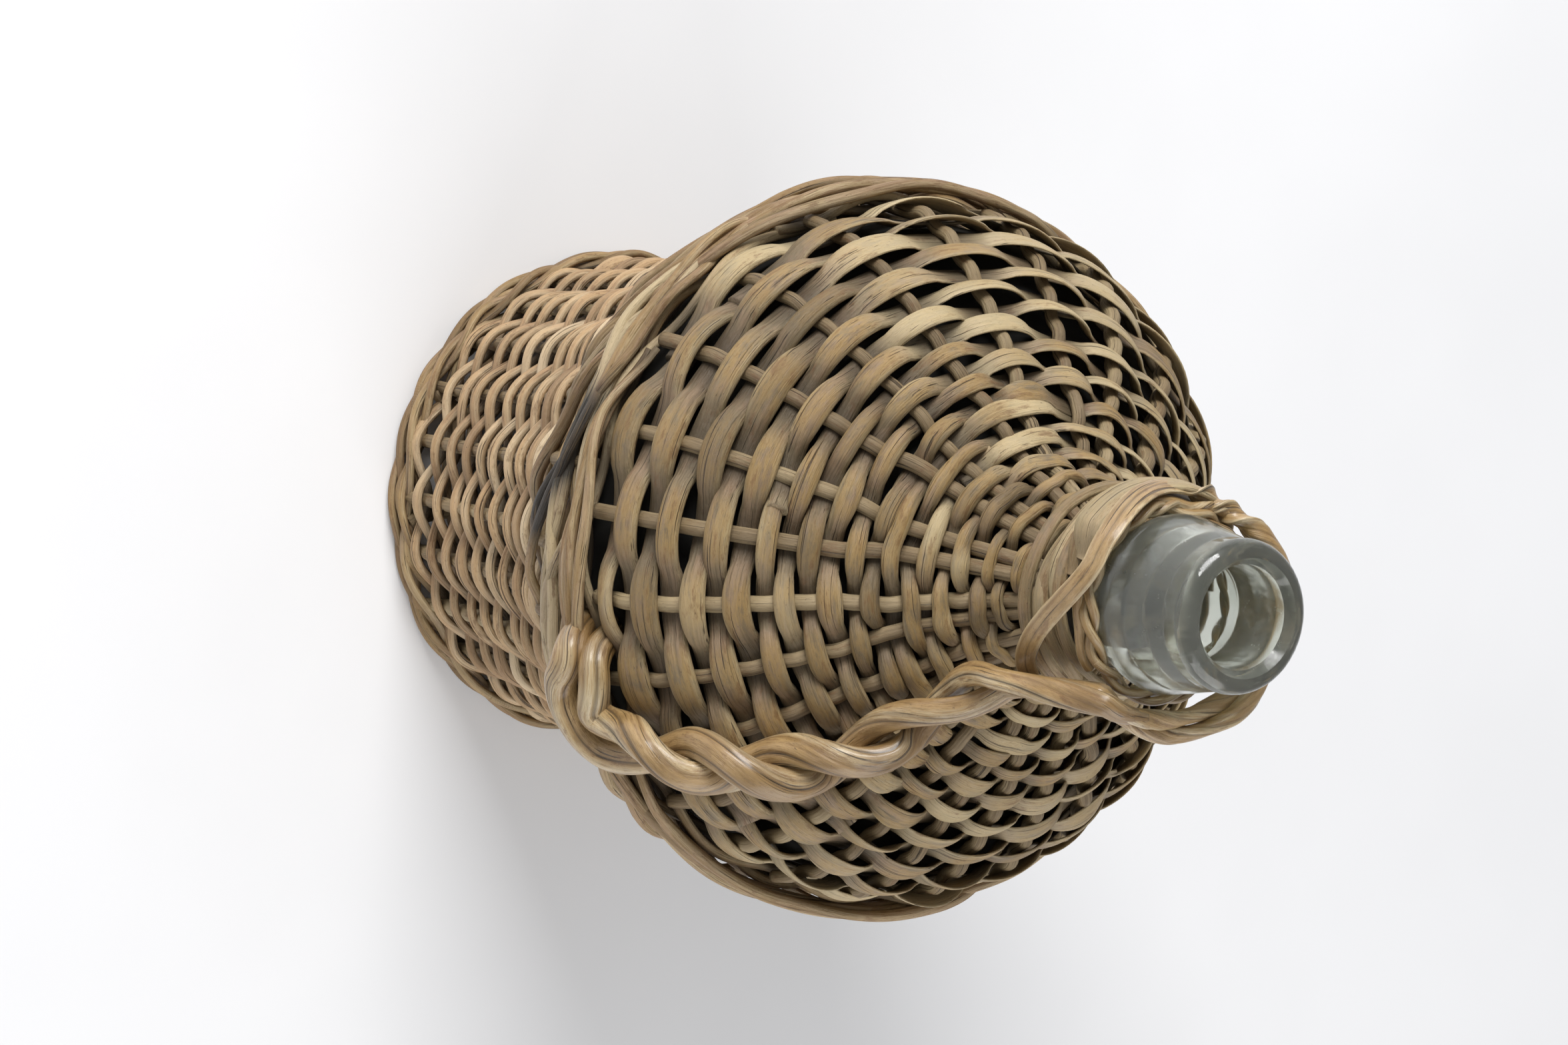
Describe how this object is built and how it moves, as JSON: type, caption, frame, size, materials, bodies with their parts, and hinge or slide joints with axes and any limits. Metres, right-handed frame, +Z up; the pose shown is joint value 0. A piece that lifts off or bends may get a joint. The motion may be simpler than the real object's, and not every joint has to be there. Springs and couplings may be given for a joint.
{
  "type": "wicker-covered glass bottle",
  "caption": "Clear glass flask in a woven willow jacket with a bell-shaped shoulder, a twisted side handle and an open mouth.",
  "frame": {"origin": "on the bottle's axis, in the plane that the foot stands on", "axes": "+Z up along the bottle's axis towards the mouth, +X towards the carrying handle"},
  "size_m": [0.1694, 0.1604, 0.254],
  "materials": {
    "clear_glass": "gloss",
    "fine_rods": "satin",
    "border_rods": "satin",
    "split_strips": "satin",
    "stakes": "satin",
    "handle_rods": "gloss"
  },
  "bodies": {
    "root": {"base_sticks_lower": "stakes", "base_sticks_upper": "stakes", "base_weave": "fine_rods", "border_rod_1": "border_rods", "border_rod_2": "border_rods", "border_rod_3": "border_rods", "border_rod_4": "border_rods", "border_rod_5": "border_rods", "border_rod_6": "border_rods", "border_rod_7": "border_rods", "collar_strip": "split_strips", "collar_twist": "handle_rods", "foot_rod_1": "border_rods", "foot_rod_2": "border_rods", "glass_bottle": "clear_glass", "handle_rod_1": "handle_rods", "handle_rod_2": "handle_rods", "lower_stakes": "stakes", "lower_weaver_01": "fine_rods", "lower_weaver_02": "fine_rods", "lower_weaver_03": "fine_rods", "lower_weaver_04": "fine_rods", "lower_weaver_05": "fine_rods", "lower_weaver_06": "fine_rods", "lower_weaver_07": "fine_rods", "lower_weaver_08": "fine_rods", "lower_weaver_09": "fine_rods", "lower_weaver_10": "fine_rods", "lower_weaver_11": "fine_rods", "lower_weaver_12": "fine_rods", "lower_weaver_13": "fine_rods", "lower_weaver_14": "fine_rods", "lower_weaver_15": "fine_rods", "lower_weaver_16": "fine_rods", "lower_weaver_17": "fine_rods", "lower_weaver_18": "fine_rods", "lower_weaver_19": "fine_rods", "neck_loop_rod_1": "handle_rods", "neck_loop_rod_2": "handle_rods", "neck_weavers": "split_strips", "upper_stakes": "stakes", "upper_weaver_01": "split_strips", "upper_weaver_02": "split_strips", "upper_weaver_03": "split_strips", "upper_weaver_04": "split_strips", "upper_weaver_05": "split_strips", "upper_weaver_06": "split_strips", "upper_weaver_07": "split_strips", "upper_weaver_08": "split_strips", "upper_weaver_09": "split_strips", "upper_weaver_10": "split_strips", "upper_weaver_11": "split_strips", "upper_weaver_12": "split_strips", "upper_weaver_13": "split_strips", "upper_weaver_14": "split_strips", "upper_weaver_15": "split_strips", "upper_weaver_16": "split_strips", "upper_weaver_17": "split_strips", "upper_weaver_18": "split_strips", "upper_weaver_19": "split_strips"}
  },
  "joints": []
}
